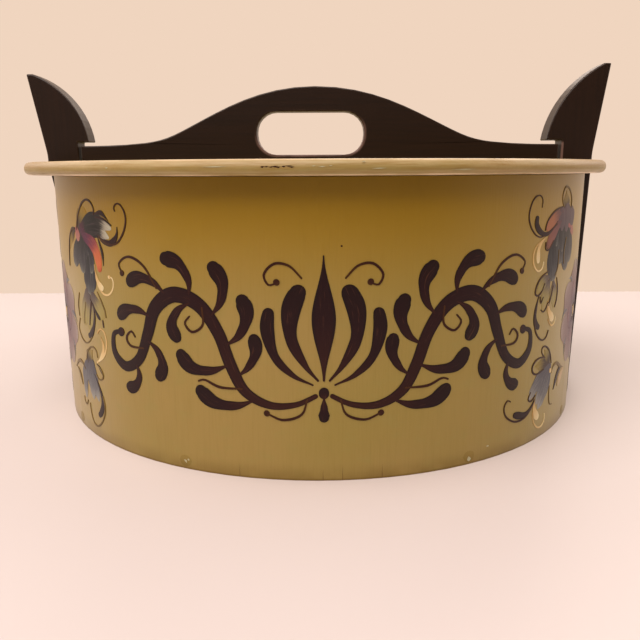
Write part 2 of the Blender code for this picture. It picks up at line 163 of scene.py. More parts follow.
def roundPlace(tree, aside=0):
    # where a point lies on a round piece: its turn, its way out, its height
    place = rowPlace(tree)
    x, y, z = parted(place)
    x = minus(x, aside)
    turn = mathNode("ARCTAN2", x, product(y, -1))
    out = mathNode("SQRT", plus(product(x, x), product(y, y)))
    return place, turn, out, z


def newMaterial(name, roughness=0.5, specular=0.5):
    material = bpy.data.materials.new(name)
    material.use_nodes = True
    tree = material.node_tree
    shader = tree.nodes["Principled BSDF"]
    shader.inputs["Roughness"].default_value = roughness
    shader.inputs["Specular IOR Level"].default_value = specular
    return material, tree, shader


def dress(shader, colour, height, bump):
    # bump is how strong the relief is and how deep, in metres
    strength, depth = bump
    relief = addNode("Bump", {"Height": height, "Strength": strength, "Distance": depth}).outputs[0]
    for name, value in (("Base Color", colour), ("Normal", relief)):
        shader.id_data.links.new(value, shader.inputs[name])


# The photograph's view, a pale table and soft light

stageLook = {
    "tableBack": 0.338,            # the table ends this far behind the middle of the box
    "tableReach": 3,
    "tableColour": (218, 209, 207), "mottleShare": 0.96, "mottle": (3, 2), "tableRoughness": 0.45,
    "wallColour": (240, 213, 191),
    "fillShare": 0.34,             # how much of the pale room lights the matt surfaces
    "dimShare": 0.14,              # behind the photographer the room is dim: glossy paint shows it
    "dimFrom": (-0.25, -0.75),
}
cameraLook = {
    "distance": 0.4769, "height": 0.1519, "turn": 0.4, "dip": 12.96, "roll": -0.25,
    "lens": 36.98, "sensor": 36, "nearest": 0.01,
}
lampLooks = {
    "window_light": {"azimuth": -26, "elevation": 56, "distance": 1.7, "size": 1.7, "power": 34.5,
                     "colour": (1, 0.88, 0.83)},
    "back_fill": {"azimuth": 160, "elevation": 40, "distance": 1.9, "size": 1.2, "power": 8,
                  "colour": (1, 0.88, 0.80)},
    "left_fill": {"azimuth": -111, "elevation": 31, "distance": 1.6, "size": 1.3, "power": 9,
                  "colour": (1, 0.92, 0.88)},
    "right_fill": {"azimuth": 110, "elevation": 31, "distance": 1.6, "size": 1.3, "power": 9.5,
                   "colour": (1, 0.92, 0.88)},
}


def makeCamera():
    look = cameraLook
    data = bpy.data.cameras.new("photo_view")
    data.lens = look["lens"]
    data.sensor_width = look["sensor"]
    data.clip_start = look["nearest"]
    camera = standNew("photo_view", data)
    turn = math.radians(look["turn"])
    place = Vector((math.sin(turn), -math.cos(turn), 0)) * look["distance"]
    place.z = look["height"]
    tilt = Matrix.Rotation(math.radians(90 - look["dip"]), 4, "X")
    roll = Matrix.Rotation(math.radians(look["roll"]), 4, "Z")
    camera.matrix_world = Matrix.Translation(place) @ (Matrix.Rotation(turn, 4, "Z") @ tilt @ roll)
    bpy.context.scene.camera = camera


def makeTable():
    look = stageLook
    back, reach = look["tableBack"], look["tableReach"]
    corners = [(-reach, -reach, 0), (reach, -reach, 0), (reach, back, 0), (-reach, back, 0)]
    mesh = bpy.data.meshes.new("pale_table")
    mesh.from_pydata(corners, [], [(0, 1, 2, 3)])
    table = standNew("pale_table", mesh)
    material, tree, shader = newMaterial("pale_table_top", look["tableRoughness"])
    mottle = noiseNode(rowPlace(tree), *look["mottle"])
    light = look["tableColour"]
    darker = [value * look["mottleShare"] for value in light]
    tree.links.new(mixNode(mottle, linear(darker), linear(light)), shader.inputs["Base Color"])
    mesh.materials.append(material)


def makeRoom():
    # the pale wall behind is the world's colour; it lights matt surfaces less than it shows
    look = stageLook
    world = bpy.data.worlds.new("pale_room")
    world.use_nodes = True
    tree = world.node_tree
    paint = tree.nodes["Background"]
    paint.inputs["Color"].default_value = linear(look["wallColour"])
    ray = addNode("LightPath", tree=tree).outputs
    matt = addNode("MapRange", {0: ray["Is Diffuse Ray"], 3: 1, 4: look["fillShare"]}).outputs[0]
    toward = parted(addNode("TexCoord", tree=tree).outputs["Generated"])["Y"]
    behind = product(fadeNode(toward, *look["dimFrom"]), ray["Is Glossy Ray"])
    dim = addNode("MapRange", {0: behind, 3: 1, 4: look["dimShare"]}).outputs[0]
    tree.links.new(product(matt, dim), paint.inputs["Strength"])
    bpy.context.scene.world = world


def makeLamps():
    for name, look in lampLooks.items():
        data = bpy.data.lights.new(name, "AREA")
        data.shape = "DISK"
        data.size = look["size"]
        data.energy = look["power"]
        data.color = look["colour"]
        lamp = standNew(name, data)
        azimuth, elevation = math.radians(look["azimuth"]), math.radians(look["elevation"])
        level = math.cos(elevation)
        away = Vector((math.sin(azimuth) * level, -math.cos(azimuth) * level, math.sin(elevation)))
        lamp.location = away * look["distance"] + Vector((0, 0, bandHeight / 2))
        lamp.rotation_euler = away.to_track_quat("Z", "Y").to_euler()


makeCamera()
makeTable()
makeRoom()
makeLamps()
bpy.context.scene.view_settings.view_transform = "Standard"
print("tine box: camera, table and light stand")


# Olive paint on the band and the lid

paintLook = {
    "olive": (142, 124, 60), "oliveDark": (127, 108, 48), "oliveWarm": (149, 126, 68),
    "oliveCool": (139, 127, 66), "drift": (9, 2, 0.35, 0.65),
    "streakStretch": (60, 14, 1), "streaks": (3, 3), "streakFade": (0.4, 0.75), "streakShare": 0.22,
    "cloudStretch": 9, "clouds": (16, 3, 0.5, 0.72), "cloudShare": 0.35,
    "bareWood": (186, 142, 92), "bareWoodDark": (142, 100, 60), "bareGrain": (8, 8, 260),
    "paintEnds": (-3, -2.2),          # mm, from the outer face into the band
    "roughness": 0.30, "specular": 0.75, "sheenTint": (1, 0.84, 0.50, 1),
    "bump": (0.10, 0.0006), "grainShare": 0.5,
}


def olivePaintColour(place, across, along):
    # satin paint laid on with a brush: faint streaks over a slow drift of tone
    look = paintLook
    streaks = noiseNode(stretched(joined(across, along), look["streakStretch"]), *look["streaks"])
    drift = patchNode(place, look["drift"])
    colour = mixNode(drift, linear(look["oliveWarm"]), linear(look["olive"]))
    dark = product(fadeNode(streaks, *look["streakFade"]), look["streakShare"])
    colour = mixNode(dark, colour, linear(look["oliveDark"]))
    cloudPlace = joined(across, product(along, look["cloudStretch"]))
    cool = product(patchNode(cloudPlace, look["clouds"]), look["cloudShare"])
    return mixNode(cool, colour, linear(look["oliveCool"])), streaks


wallLook = {
    # mm from the band's upper edge: where the tone starts and where it is full
    "warmShade": (-72, -12), "warmShadeShare": 0.92, "deep": (142, 110, 2),     # painted shade: the paint turns warm and deep high on the band, under the lid
    "litRight": (0.25, 0.75), "litRightShare": 0.42,      # round to the right, in radians, the painted shade is weaker
    # painted shade right under the lid
    "lidShadeReach": (-16, -2), "lidShadeShare": 0.34,
    # mm from the table
    # darker towards the bottom, in patches
    "low": (10, 0), "lowShare": 0.50, "patchStretch": 6, "patches": (9, 3, 0.2, 0.6),
    # a painted contact shadow along the foot
    "foot": (1.4, 0.5), "footShadowShare": 0.6,
    "shadeTone": (92, 66, 4),               # painted shade under the lid and a painted contact shadow along the foot; also darker towards the bottom
    # degrees round from the front middle, mm high
    "cracks": ((-13.1, 9), (0.8, 7), (4, 10), (10.6, 9), (-31.5, 3), (34, 3.5)),
    "crack": (84, 58, 22), "crackShare": 0.7, "crackWidth": 0.0014,      # in radians, as is the reach
    "wander": (400, 2), "wanderReach": 0.004,
}


def wallShadeAndWear(colour, turn, z):
    # painted shade just under the lid and a painted contact shadow along the foot, darker towards the bottom
    # in patches, a few fine cracks rising from the foot
    look = wallLook
    # painted shade high on the band, weaker round to the right
    litRight = product(fadeNode(turn, *look["litRight"]), look["litRightShare"])
    warmShade = product(fadeFrom(z, bandHeight, look["warmShade"]), minus(look["warmShadeShare"], litRight))
    colour = mixNode(warmShade, colour, linear(look["deep"]))
    patches = patchNode(joined(turn, product(z, look["patchStretch"])), look["patches"])
    # painted shade under the lid, darker towards the bottom in patches, a painted contact shadow along the
    # foot
    top = product(fadeFrom(z, bandHeight, look["lidShadeReach"]), look["lidShadeShare"])
    low = product(fadeFrom(z, 0, look["low"]), patches, look["lowShare"])
    foot = product(fadeFrom(z, 0, look["foot"]), look["footShadowShare"])
    for share in (top, low, foot):
        colour = mixNode(share, colour, linear(look["shadeTone"]))
    reach = look["wanderReach"]
    wander = product(noiseNode(joined(z=z), *look["wander"]), reach)
    for degrees, height in look["cracks"]:
        aside = minus(minus(turn, wander), math.radians(degrees) - reach / 2)
        width = product(fadeFrom(z, 0, (height, 0)), look["crackWidth"])
        inside = mathNode("LESS_THAN", mathNode("ABSOLUTE", aside), width)
        colour = mixNode(product(inside, look["crackShare"]), colour, linear(look["crack"]))
    return colour


woodLook = {"grain": (1, 5, 0.6), "fade": (0.35, 0.7), "roughness": 0.6, "bump": (0.25, 0.0004)}


def woodColour(place, light, dark, along):
    look = woodLook
    grain = noiseNode(stretched(place, along), *look["grain"])
    return mixNode(fadeNode(grain, *look["fade"]), linear(light), linear(dark)), grain


def makeBandPaint():
    look = paintLook
    material, tree, shader = newMaterial("olive_paint_band", look["roughness"], look["specular"])
    shader.inputs["Specular Tint"].default_value = look["sheenTint"]
    place, turn, out, z = roundPlace(tree)
    painted, streaks = olivePaintColour(place, turn, z)
    painted = wallShadeAndWear(painted, turn, z)
    bare, grain = woodColour(place, look["bareWood"], look["bareWoodDark"], look["bareGrain"])
    colour = mixNode(fadeFrom(out, bandRadius, look["paintEnds"]), bare, painted)
    height = plus(streaks, product(grain, look["grainShare"]))
    dress(shader, colour, height, look["bump"])
    return material


rimLook = {
    "aside": -2.6,                        # mm, the lid sits this far off the middle of the band
    "edge": (-4.8, -3.4),                 # mm in from the rim: where the edge's wear and its painted light start and are full
    # the dark tone is for darker brush hairs and for painted shade at the ends
    "pale": (226, 202, 166), "shaded": (138, 98, 30), "darkHairFade": (0.62, 0.35), "darkHairShare": 0.35,
    # how pale the edge is from its lower corner up to its upper one, partly wear and partly painted
    # highlight: (share of the height, paleness)
    "pales": ((0, 0.85), (0.08, 0.95), (0.12, 0.2), (0.24, 0.2), (0.36, 0.04), (0.5, 0.12), (0.62, 0.3),
              (0.78, 0.26), (0.9, 0.34), (0.95, 0.75), (1, 0.65)),
    "hairStretch": (9, 900), "hairNoise": (1, 4, 0.6), "hairFade": (0.25, 0.75),
    "patchStretch": 60, "patches": (4, 3, 0.3, 0.7), "unevenShare": 0.7,
    # the upper half of the edge has less painted highlight and carries painted shade at both ends, in radians
    # round from the front
    "ends": (0.45, 1), "upper": (0.4, 0.6), "endLoss": 0.9, "endShade": 0.6,
    "roughness": 0.42, "specular": 0.42, "bump": (0.25, 0.0006), "ripple": (40, 40, 300),
}


def makeLidPaint():
    look = rimLook
    material, tree, shader = newMaterial("olive_paint_lid", look["roughness"], look["specular"])
    place, turn, out, z = roundPlace(tree, look["aside"] * mm)
    # over the flat top the brush went from end to end, along the handle
    x, y, _ = parted(place)
    painted, streaks = olivePaintColour(place, product(y, 1 / bandRadius), x)

    # the edge is pale along both corners, partly rubbed and partly painted highlight, and its brush marks run
    # level
    hairTurn, hairHeight = look["hairStretch"]
    level = joined(product(turn, hairTurn), product(z, hairHeight))
    hairs = noiseNode(level, *look["hairNoise"])
    patches = patchNode(joined(turn, product(z, look["patchStretch"])), look["patches"])
    share = addNode("MapRange", {0: z, 1: rimLow, 2: rimHigh}).outputs[0]
    paleness = rampNode(share, [(at, (value, value, value, 1)) for at, value in look["pales"]])
    uneven = plus(product(fadeNode(hairs, *look["hairFade"]), look["unevenShare"]),
                  product(patches, look["unevenShare"]))
    sideways = fadeNode(mathNode("ABSOLUTE", turn), *look["ends"])
    toEnds = product(sideways, fadeNode(share, *look["upper"]))
    uneven = product(uneven, minus(1, product(toEnds, look["endLoss"])))
    onEdge = fadeFrom(out, rimRadius, look["edge"])

    pale = mathNode("MULTIPLY", product(paleness, uneven), onEdge, clamp=True)
    # darker brush hairs, and painted shade at the upper ends
    dim = product(fadeNode(hairs, *look["darkHairFade"]), look["darkHairShare"])
    dim = product(mathNode("MAXIMUM", dim, product(toEnds, look["endShade"])), onEdge)
    painted = mixNode(dim, painted, linear(look["shaded"]))
    ripple = noiseNode(stretched(place, look["ripple"]), 1)
    dress(shader, mixNode(pale, painted, linear(look["pale"])), plus(streaks, ripple), look["bump"])
    return material


# The dark stain on the handle and the posts, and the bare wood

darkLook = {
    "stain": (34, 18, 6), "stainDark": (28, 14, 4),
    "roughness": 0.36, "specular": 0.36, "bump": (0.15, 0.0005),
    # edges are worn where the rounded normal turns away from the true one
    "worn": (92, 72, 56), "wearRadius": 0.0012, "wearFacing": (0.99, 0.90), "wearSamples": 6,
    "wearPatches": (90, 3, 0.35, 0.6), "wearShare": 0.8,
    # mm: the finger slot's middle, half its size and its corner radius, and where its lip is pale, from wear
    # and a painted highlight
    "slotMiddle": (-6, 175.8), "slotHalf": (37.05, 14.4), "slotCorner": 13.6,
    "lipWearAndHighlight": (108, 84, 76), "lipWidth": (2, 0.8), "lipPatches": (60, 3, 0.2, 0.6),
    "lowLip": (2, -11), "rightLip": (27, 34), "rightLipHeight": (12, 4), "rightShare": 0.7,
    # mm: where the right post narrows over the lid, and a painted highlight runs down the front of its edge
    "neck": 167.6, "neckWidth": (1.1, 0.7), "neckFoot": (-1, 0), "neckTop": (170, 168),
    "neckFront": (-5.5, -6.8),
}


def edgeWear(tree):
    look = darkLook
    rounded = addNode("Bevel", {"Radius": look["wearRadius"]}, tree, samples=look["wearSamples"]).outputs[0]
    true = addNode("NewGeometry", tree=tree).outputs["Normal"]
    facing = addNode("VectorMath", {0: rounded, 1: true}, operation="DOT_PRODUCT").outputs["Value"]
    return fadeNode(facing, *look["wearFacing"])


def slotLip(place):
    # paler beside the slot, along its lower edge and its right end: wear from fingers and a painted highlight
    # where these edges catch the light
    look = darkLook
    x, _, z = parted(place)
    corner = look["slotCorner"] * mm
    middleX, middleZ = [value * mm for value in look["slotMiddle"]]
    beyond = []
    for value, middle, half in zip((x, z), (middleX, middleZ), look["slotHalf"]):
        apart = mathNode("ABSOLUTE", minus(value, middle))
        past = mathNode("MAXIMUM", minus(apart, half * mm - corner), 0)
        beyond.append(product(past, past))
    away = minus(mathNode("SQRT", plus(*beyond)), corner)
    low = fadeFrom(z, middleZ, look["lowLip"])
    right = product(fadeFrom(x, middleX, look["rightLip"]),
                    fadeFrom(z, middleZ, look["rightLipHeight"]), look["rightShare"])
    return product(fadeFrom(away, 0, look["lipWidth"]), mathNode("MAXIMUM", low, right))


def neckEdge(place):
    # a painted highlight: a pale strip on the right post's neck, over the lid
    look = darkLook
    x, y, z = parted(place)
    apart = mathNode("ABSOLUTE", minus(x, look["neck"] * mm))
    beside = fadeFrom(apart, 0, look["neckWidth"])
    over = product(fadeFrom(z, rimHigh, look["neckFoot"]), fadeFrom(z, 0, look["neckTop"]))
    return product(beside, over, fadeFrom(y, 0, look["neckFront"]))


def makeDarkWood(name, along, handled=False):
    look = darkLook
    material, tree, shader = newMaterial(name, look["roughness"], look["specular"])
    place = rowPlace(tree)
    stained, grain = woodColour(place, look["stain"], look["stainDark"], along)
    # on the handle the slot's lip, worn and with a painted highlight; on the posts a painted highlight at the
    # neck
    if handled:
        lipWearAndHighlight = product(slotLip(place), patchNode(place, look["lipPatches"]))
    else:
        lipWearAndHighlight = neckEdge(place)
    stained = mixNode(lipWearAndHighlight, stained, linear(look["lipWearAndHighlight"]))
    worn = product(edgeWear(tree), patchNode(place, look["wearPatches"]), look["wearShare"])
    dress(shader, mixNode(worn, stained, linear(look["worn"])), grain, look["bump"])
    return material


def makePlainWood(name, light, dark, along, roughness=woodLook["roughness"]):
    material, tree, shader = newMaterial(name, roughness)
    colour, grain = woodColour(rowPlace(tree), light, dark, along)
    dress(shader, colour, grain, woodLook["bump"])
    return material


bandPaint = makeBandPaint()
lidPaint = makeLidPaint()
darkUpright = makeDarkWood("dark_stain_posts", (420, 420, 22))
darkLevel = makeDarkWood("dark_stain_handle", (22, 420, 420), handled=True)
boardWood = makePlainWood("bare_wood_bottom", (190, 148, 98), (150, 108, 66), (10, 260, 260))
pegWood = makePlainWood("peg_wood", (176, 132, 84), (128, 88, 52), (300, 300, 300))
rootSkin = makePlainWood("birch_root_skin", (150, 108, 66), (96, 62, 34), (500, 500, 60), 0.5)


def repaint(mesh, material):
    mesh.materials.clear()
    mesh.materials.append(material)


for name in nodes:
    if name.startswith(("bottom_peg", "post_peg", "handle_peg")):
        repaint(nodes[name].data, pegWood)
    elif name.startswith("root_lacing"):
        repaint(nodes[name].data, rootSkin)
print("tine box: wood on the pegs")


# The bent band, the lid, the bottom and the handle, with their round faces shaded smooth

smoothLook = {"weldGap": 0.00001, "sharpFrom": 24, "flatFrom": 0.999}


def weldedCopy(source, name):
    mesh = nodes[source].data.copy()
    mesh.name = name
    work = bmesh.new()
    work.from_mesh(mesh)
    bmesh.ops.remove_doubles(work, verts=work.verts, dist=smoothLook["weldGap"])
    return mesh, work


def smoothPiece(name, source, body, material, flatWay=None):
    mesh, work = weldedCopy(source, name)
    work.to_mesh(mesh)
    work.free()
    mesh.shade_smooth()
    mesh.set_sharp_from_angle(angle=math.radians(smoothLook["sharpFrom"]))
    if flatWay is not None:
        # the planed faces stay flat, so only the rounded edges catch the light
        for face in mesh.polygons:
            face.use_smooth = abs(face.normal[flatWay]) < smoothLook["flatFrom"]
    repaint(mesh, material)
    piece = standNew(name, mesh)
    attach(piece, body)
    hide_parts(source)


smoothPiece("bent_band", "side_band", "box", bandPaint)
smoothPiece("round_lid", "lid_board", "lid", lidPaint, flatWay=2)
smoothPiece("arched_handle", "handle", "lid", darkLevel, flatWay=1)
smoothPiece("round_bottom", "bottom_board", "box", boardWood, flatWay=2)
print("tine box: band, lid, handle and bottom stand")


# The two posts, cut across in even steps between box and head, where the real posts bend when the lid is let
# go

postLook = {"bendLow": 0.026, "bendHigh": 0.078, "cutSteps": 14, "cutGap": 0.000001}


def makePost(side):
    mesh, work = weldedCopy("post_" + side, "springy_post_" + side)
    low, high, steps = postLook["bendLow"], postLook["bendHigh"], postLook["cutSteps"]
    for step in range(steps + 1):
        level = low + (high - low) * step / steps
        bmesh.ops.bisect_plane(work, geom=work.verts[:] + work.edges[:] + work.faces[:],
                               plane_co=(0, 0, level), plane_no=(0, 0, 1), dist=postLook["cutGap"])
    work.to_mesh(mesh)
    work.free()
    repaint(mesh, darkUpright)
    post = standNew("springy_post_" + side, mesh)
    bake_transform(post)
    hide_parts("post_" + side)


makePost("left")
makePost("right")


# Brushwork: every stroke is a thin raised film of paint
# strokes are laid out in millimetres: how far round from the front middle, how high

brushShapes = {                        # (share of the way, share of the width)
    "line": ((0, 0.7), (0.5, 1), (1, 0.7)),
    "comma": ((0, 0.12), (0.45, 0.6), (0.8, 1), (1, 0.82)),
    "tear": ((0, 0.1), (0.6, 1), (1, 0.7)),
    "leaf": ((0, 0.1), (0.5, 1), (1, 0.06)),
    "swell": ((0, 0.12), (0.35, 0.8), (0.6, 1), (1, 0.15)),
    "dot": ((0, 1), (1, 1)),
    "petal": ((0, 0.45), (0.6, 1), (1, 0.75)),
    "flare": ((0, 0.6), (0.35, 1), (0.75, 0.8), (1, 0.5)),
    "stem": ((0, 0.3), (0.3, 0.8), (0.55, 1), (0.85, 0.7), (1, 0.3)),
    "lobe": ((0, 0.4), (0.45, 1), (0.82, 0.66), (1, 0.22)),
}
brushLook = {
    "film": 0.020, "layer": 0.060, "rise": 0.0012, "sunk": 0.15,      # mm, out from the ground or into it
    "crown": 0.045, "leastCrown": 0.35, "fullCrown": 8, "flank": 0.62, "foot": 0.97,
    "wide": 1.7, "thinnest": 0.03, "wayStep": 0.5, "step": 1.3,
    "roundFrom": 0.3, "leastEnd": 0.15, "close": (0, 0.05, 0.18, 0.42, 0.72),
    "sharpFrom": 40, "seedReach": 40,
}


def smoothWay(points):
    # a soft curve through the places the brush passes
    first = [2 * a - b for a, b in zip(points[0], points[1])]
    last = [2 * a - b for a, b in zip(points[-1], points[-2])]
    knots = [Vector(point) for point in (first, *points, last)]
    way = []
    for before, here, there, after in zip(knots, knots[1:], knots[2:], knots[3:]):
        count = max(3, round((there - here).length / brushLook["wayStep"]))
        bend = 2 * before - 5 * here + 4 * there - after
        twist = 3 * here - before - 3 * there + after
        for index in range(count):
            t = index / count
            way.append(0.5 * (2 * here + (there - before) * t + bend * t ** 2 + twist * t ** 3))
    way.append(knots[-2])
    return way


def pressAt(shape, share):
    for (low, lowWidth), (high, highWidth) in zip(shape, shape[1:]):
        if share <= high:
            part = (share - low) / (high - low)
            return lowWidth + (highWidth - lowWidth) * part * part * (3 - 2 * part)
    return shape[-1][1]


def strokeMarks(total, startRound, endRound):
    # closer stations where a stroke's end is round
    look = brushLook
    close, roundFrom, least = look["close"], look["roundFrom"], look["leastEnd"]
    start = [startRound * share for share in close] if startRound > roundFrom else [0]
    end = [total - endRound * share for share in reversed(close)] if endRound > roundFrom else [total]
    low, high = max(startRound, least), total - max(endRound, least)
    count = max(2, round((high - low) / look["step"]))
    between = [low + (high - low) * index / count for index in range(count + 1)] if high > low else []
    return start + between + end


wallGround = {"radius": bandRadius, "aside": 0, "body": "box"}
rimGround = {"radius": rimRadius, "aside": rimLook["aside"] * mm, "body": "lid"}


def onGround(ground, around, height, out):
    angle = around * mm / ground["radius"]
    radius = ground["radius"] + out * mm
    return (ground["aside"] + radius * math.sin(angle), -radius * math.cos(angle), height * mm)


def layStroke(film, ground, order, seed, brush, width, *points):
    # a brush is named by its shape and its paint
    shapeName, paint = brush.split()
    shape, look = brushShapes[shapeName], brushLook
    if shapeName == "dot":
        # the brush is set down once: the blob reaches half its width past both ends
        start, end = Vector(points[0]), Vector(points[-1])
        reachOut = (end - start).normalized() * width / 2
        points = [tuple(start - reachOut), tuple(end + reachOut)]
    way = smoothWay(points)
    gone = [0]
    for a, b in zip(way, way[1:]):
        gone.append(gone[-1] + (b - a).length)
    total = gone[-1]
    startRound, endRound = shape[0][1] * width / 2, shape[-1][1] * width / 2
    lift = look["film"] + look["layer"] * brushPaints[paint]["layer"] + look["rise"] * order
    crown = look["crown"] * min(1, look["leastCrown"] + width / look["fullCrown"])
    across = (-1, -look["flank"], 0, look["flank"], 1) if width > look["wide"] else (-1, 0, 1)
    firstVert, rings, spot, size = len(film["verts"]), 0, 0, len(across) + 2
    for mark in strokeMarks(total, startRound, endRound):
        while spot < len(gone) - 2 and gone[spot + 1] < mark:
            spot += 1
        part = (mark - gone[spot]) / max(gone[spot + 1] - gone[spot], 1e-6)
        middle = way[spot].lerp(way[spot + 1], min(part, 1))
        ahead = way[min(spot + 2, len(way) - 1)] - way[max(spot - 1, 0)]
        side = Vector((-ahead.y, ahead.x)).normalized()
        half = pressAt(shape, mark / total) * width / 2
        for near, roundness in ((mark, startRound), (total - mark, endRound)):
            if near < roundness:
                half = min(half, math.sqrt(max(roundness ** 2 - (roundness - near) ** 2, 0)))
        half = max(half, look["thinnest"])
        ring = [(u, lift + crown * (1 - u * u) * min(1, half)) for u in across]
        ring += [(look["foot"], -look["sunk"]), (-look["foot"], -look["sunk"])]
        for u, out in ring:
            place = middle + side * (u * half)
            film["verts"].append(onGround(ground, place.x, place.y, out))
            film["brush"].append((mark / total, u, seed))
            film["reach"].append((mark, u * half, seed * look["seedReach"]))
        rings += 1
    for low in range(firstVert, firstVert + (rings - 1) * size, size):
        for index in range(size):
            after = (index + 1) % size
            film["faces"].append((low + index, low + after, low + size + after, low + size + index))
    film["faces"].append(tuple(firstVert + index for index in reversed(range(size))))
    film["faces"].append(tuple(firstVert + (rings - 1) * size + index for index in range(size)))
    film["slots"] += [paint] * ((rings - 1) * size + 2)


def layStrokes(name, rows, ground=wallGround):
    film = {"verts": [], "faces": [], "slots": [], "brush": [], "reach": []}
    chance = random.Random(name)
    for order, row in enumerate(rows):
        layStroke(film, ground, order, chance.random(), *row)
    mesh = bpy.data.meshes.new(name)
    mesh.from_pydata(film["verts"], [], film["faces"])
    used = sorted(set(film["slots"]))
    for paint in used:
        mesh.materials.append(brushPaints[paint]["material"])
    mesh.polygons.foreach_set("material_index", [used.index(paint) for paint in film["slots"]])
    for label in ("brush", "reach"):
        layer = mesh.attributes.new(label, "FLOAT_VECTOR", "POINT")
        layer.data.foreach_set("vector", [number for value in film[label] for number in value])
    work = bmesh.new()
    work.from_mesh(mesh)
    bmesh.ops.recalc_face_normals(work, faces=work.faces)
    work.to_mesh(mesh)
    work.free()
    mesh.shade_smooth()
    mesh.set_sharp_from_angle(angle=math.radians(brushLook["sharpFrom"]))
    piece = standNew(name, mesh)
    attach(piece, ground["body"])


# The paints, each with its layer and, as the lamps show them, its colours along a stroke

brushPaints = {
    "ground": {"layer": 0, "ground": (0, 0), "stops": {0: (150, 118, 52), 1: (150, 118, 52)}},
    "slate": {"layer": 0, "streak": (124, 114, 108), "stops": {
        0: (38, 22, 28), 0.35: (40, 31, 34), 0.72: (58, 48, 50), 0.93: (92, 80, 76), 1: (138, 122, 104)}},
    "mist": {"layer": 0, "streak": (176, 158, 148), "stops": {
        0: (84, 68, 72), 0.35: (92, 80, 84), 0.7: (116, 102, 102), 1: (172, 152, 140)}},
    "leaf": {"layer": 0, "streak": (196, 166, 110), "ground": (0.55, 1.15), "stops": {
        0: (86, 62, 60), 0.3: (108, 84, 74), 0.52: (158, 128, 80), 1: (182, 152, 92)}},
    "shade": {"layer": 0, "ground": (0.30, 1.00), "stops": {
        0: (62, 38, 34), 0.4: (78, 54, 36), 1: (146, 118, 56)}},
    "whiteTip": {"layer": 1, "streak": (96, 70, 72), "stops": {
        0: (86, 34, 50), 0.2: (42, 18, 30), 0.55: (28, 16, 20), 0.72: (62, 50, 46), 0.84: (182, 156, 136),
        1: (206, 182, 158)}},
    "flame": {"layer": 1, "streak": (222, 138, 92), "stops": {
        0: (70, 30, 48), 0.34: (98, 40, 64), 0.54: (142, 56, 64), 0.68: (202, 98, 64), 0.88: (218, 106, 62),
        1: (192, 78, 50)}},
    "spark": {"layer": 1, "stops": {
        0: (104, 66, 70), 0.35: (128, 80, 74), 0.6: (176, 104, 74), 1: (180, 108, 76)}},
    "ember": {"layer": 1, "stops": {
        0: (92, 58, 66), 0.5: (138, 80, 74), 0.85: (146, 84, 68), 1: (118, 70, 52)}},
    "rose": {"layer": 1, "stops": {0: (166, 82, 80), 1: (184, 116, 100)}},
    "dusk": {"layer": 0, "stops": {
        0: (92, 58, 62), 0.35: (124, 84, 82), 0.75: (150, 112, 104), 1: (176, 142, 128)}},
    "bruise": {"layer": 1, "streak": (128, 104, 104), "stops": {
        0: (98, 74, 78), 0.5: (92, 66, 72), 1: (100, 70, 74)}},
    "duskDeep": {"layer": 1, "stops": {0: (58, 34, 42), 0.5: (98, 56, 64), 1: (144, 92, 90)}},
    "peach": {"layer": 2, "stops": {0: (206, 150, 92), 0.5: (234, 180, 122), 1: (248, 208, 160)}},
    "apricot": {"layer": 1, "stops": {0: (206, 160, 118), 0.6: (214, 166, 124), 1: (190, 150, 104)}},
    "scroll": {"layer": 2, "edge": (46, 24, 18), "patch": (92, 54, 42), "stops": {
        0: (68, 38, 32), 0.5: (56, 30, 32), 1: (52, 26, 28)}},
    "hair": {"layer": 3, "stops": {0: (84, 50, 16), 0.5: (68, 38, 14), 1: (74, 42, 16)}},
    "paleHair": {"layer": 3, "stops": {0: (142, 106, 62), 0.5: (120, 86, 46), 1: (132, 98, 56)}},
    # pale chips in the paint; on the lid's edge one is a painted glint
    "chip": {"layer": 1, "stops": {0: (196, 172, 136), 1: (206, 184, 150)}},
    "gash": {"layer": 0, "stops": {0: (82, 44, 14), 0.5: (62, 28, 8), 1: (92, 54, 24)}},
}
lampTint = {"gain": (1.30, 1.02, 0.98), "veil": (0.020, 0.013, 0.011), "least": 0.0025}
bristleLook = {
    "roughness": 0.38, "specular": 0.20, "bump": (0.12, 0.0003),
    "stretch": (0.10, 1.9, 1), "noise": (1, 4, 0.6), "drag": 0.42,     # bristle marks
    "hairStretch": (0.07, 2.6, 1.3), "hairNoise": (1, 2, 0.5), "hairFade": (0.54, 0.68),
    "hairWay": (0.1, 0.5), "hairShare": 0.55,
    "thin": (0.56, 0.72), "thinInside": (0.85, 0.35), "thinShare": 0.8, "edge": (0.6, 1), "edgeShare": 0.6,
}


def underLamps(colour):
    # the paint's own colour that looks like this one in the warm light
    shares = [(s - veil) / gain for s, veil, gain in zip(linear(colour), lampTint["veil"], lampTint["gain"])]
    return tuple(max(share, lampTint["least"]) for share in shares) + (1,)


